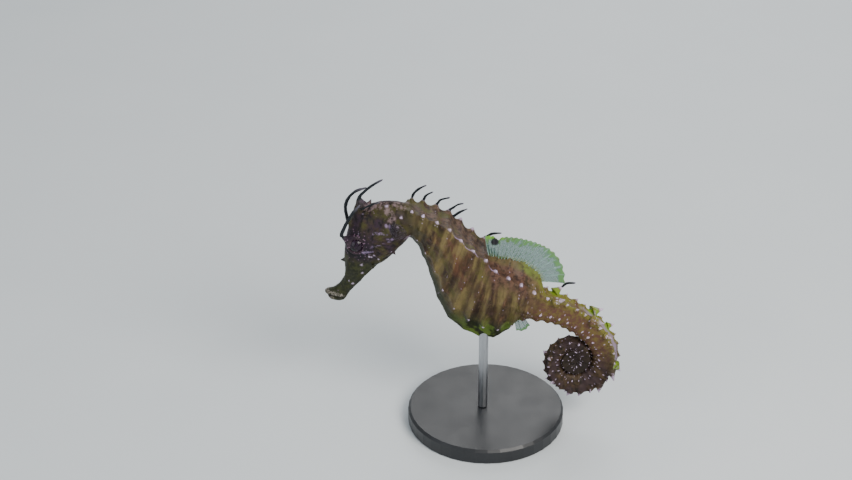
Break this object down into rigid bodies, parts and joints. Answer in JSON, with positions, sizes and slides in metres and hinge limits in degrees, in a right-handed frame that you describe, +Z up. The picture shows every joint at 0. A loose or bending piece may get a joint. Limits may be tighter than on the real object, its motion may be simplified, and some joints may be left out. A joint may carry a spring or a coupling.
{
  "type": "long-snouted seahorse model on a display stand",
  "caption": "Life-size model of a swimming long-snouted seahorse with a spiny ringed body, skin filaments and a coiled tail, held over a round base by one rod.",
  "frame": {"origin": "centre of the underside of the stand's base", "axes": "+Z up, +X from the seahorse's head towards its tail, -Y to the seahorse's left side, the one that faces the viewer"},
  "size_m": [0.0753, 0.04, 0.0697],
  "materials": {
    "skin": "mottled olive brown and purple brown skin with pale spine tips and dark slate filaments, slightly moist",
    "fin": "thin, translucent grey green with pale rays",
    "eye": "clear, wet gloss over a dark speckled iris",
    "stand_rod": "brushed along its length",
    "stand_base": "satin black with a small bevel"
  },
  "bodies": {
    "root": {"snout": "skin", "head": "skin", "coronet": "skin", "neck": "skin", "trunk_front": "skin", "trunk_rear": "skin", "tail_1": "skin", "tail_2": "skin", "tail_3": "skin", "tail_4": "skin", "tail_5": "skin", "tail_6": "skin", "tail_7": "skin", "tail_8": "skin", "eye_left": "eye", "eye_right": "eye", "pectoral_fin_left": "fin", "pectoral_fin_right": "fin", "dorsal_fin": "fin", "anal_fin": "fin", "stand_rod": "stand_rod", "stand_base": "stand_base"}
  },
  "joints": []
}
